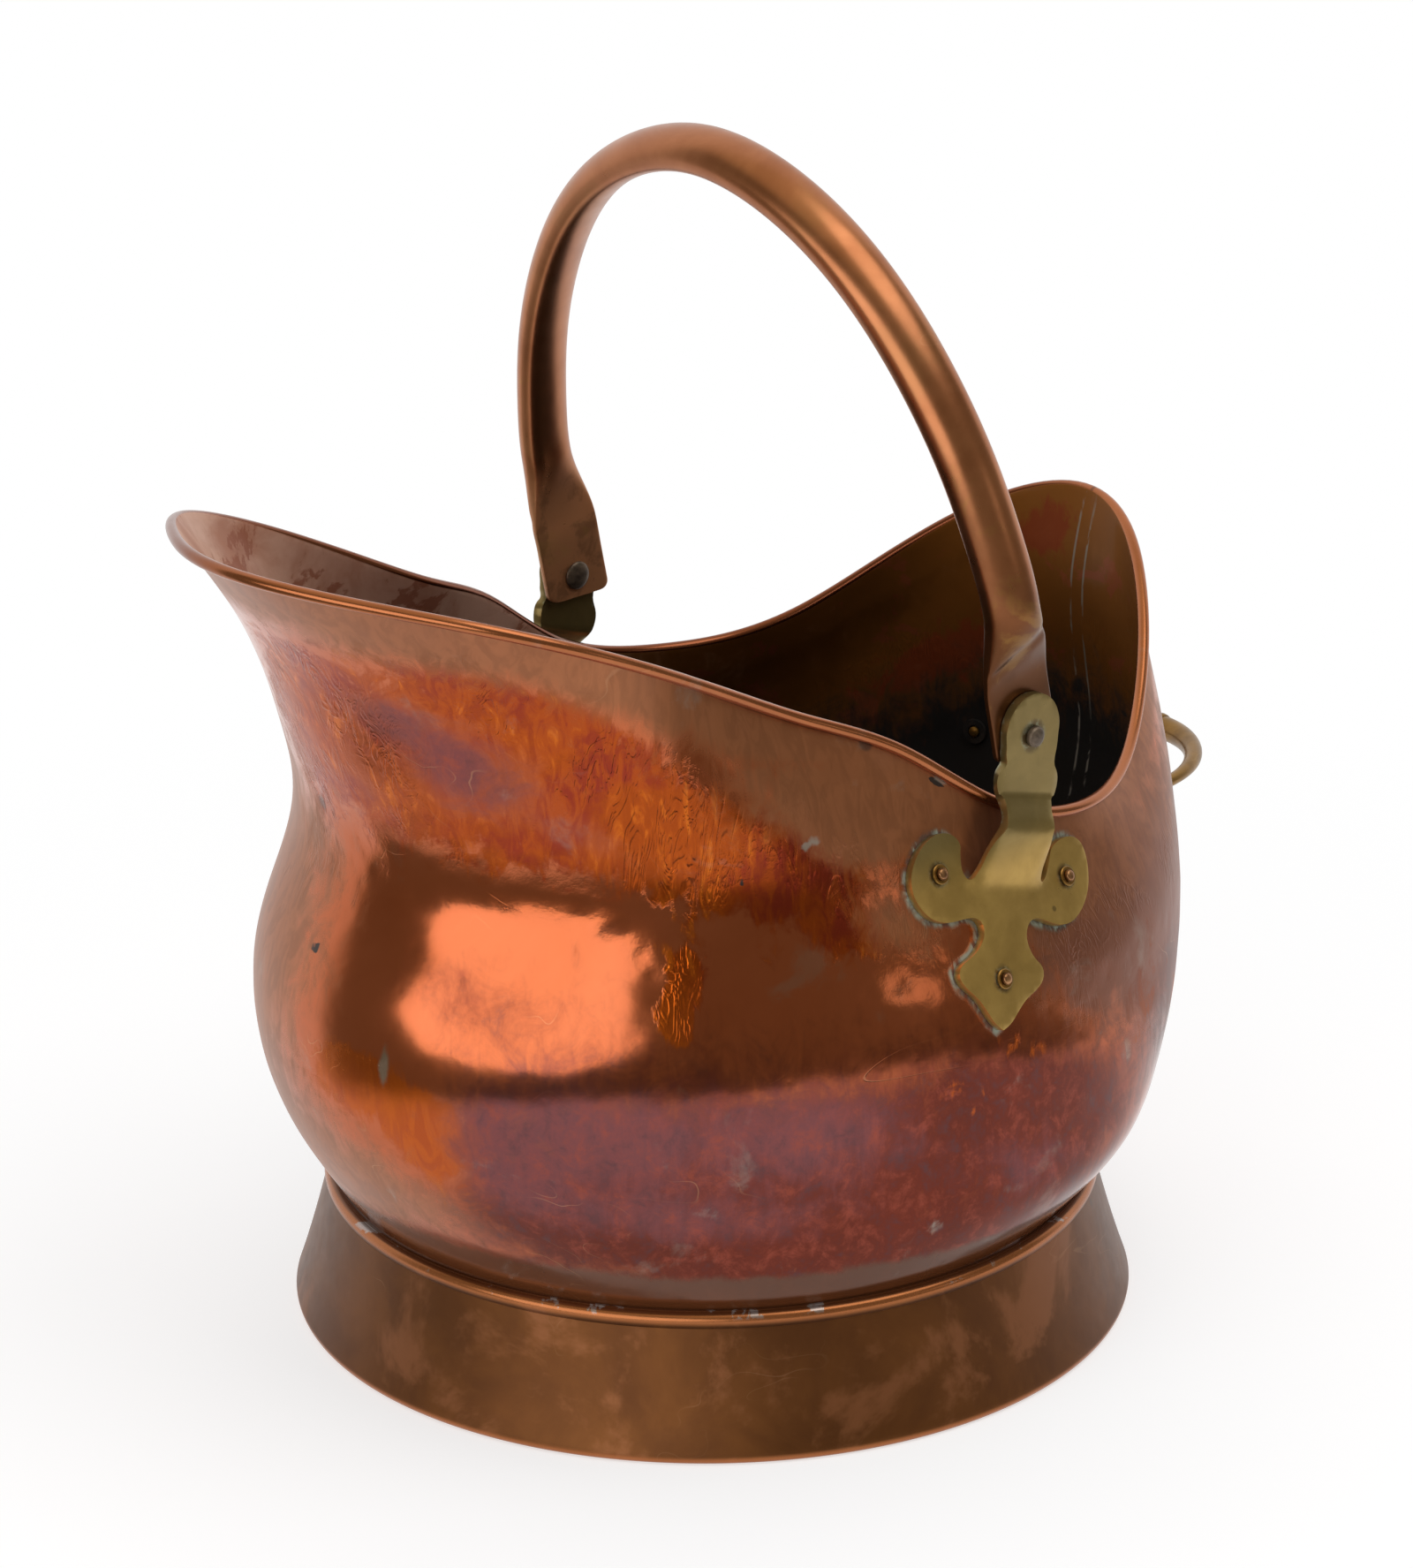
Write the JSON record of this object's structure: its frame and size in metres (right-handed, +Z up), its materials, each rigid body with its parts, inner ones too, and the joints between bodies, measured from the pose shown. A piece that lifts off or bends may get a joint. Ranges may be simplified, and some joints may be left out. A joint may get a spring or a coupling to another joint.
{
  "type": "coal scuttle",
  "caption": "Copper helmet coal scuttle: an oval beaten body on a flared foot, a swinging bail on brass ears and a small brass grip at the back.",
  "frame": {"origin": "middle of the bounding box seen from above, at the height of the ground that the foot stands on", "axes": "+Z up, -Y towards the pouring lip, +Y towards the rear grip, X along the axis on which the bail turns"},
  "size_m": [0.26, 0.3804, 0.3656],
  "materials": {
    "copper": "old polished beaten copper, browned and heat tinted",
    "sooted_copper": "copper under a dull coat of coal soot",
    "brass": "worn yellow brass with dark and green edges",
    "iron": "dark forged iron wire and pins"
  },
  "bodies": {
    "scuttle": {"body_shell": "copper", "floor_pan": "sooted_copper", "foot_ring": "copper", "foot_wire": "iron", "left_ear": "brass", "left_ear_back_burr": "brass", "left_ear_back_rivet": "copper", "left_ear_front_burr": "brass", "left_ear_front_rivet": "copper", "left_ear_low_burr": "brass", "left_ear_low_rivet": "copper", "left_grip_burr": "brass", "left_pivot_pin": "iron", "rear_grip": "brass", "right_ear": "brass", "right_ear_back_burr": "brass", "right_ear_back_rivet": "copper", "right_ear_front_burr": "brass", "right_ear_front_rivet": "copper", "right_ear_low_burr": "brass", "right_ear_low_rivet": "copper", "right_grip_burr": "brass", "right_pivot_pin": "iron", "rim_wire": "iron"},
    "bail": {"bail": "copper"}
  },
  "joints": [
    {"name": "bail_hinge", "type": "hinge", "parent": "scuttle", "child": "bail", "pos_m": [0, 0.02163, 0.19817], "axis": [1, 0, 0], "range_deg": [-121, 55]}
  ]
}
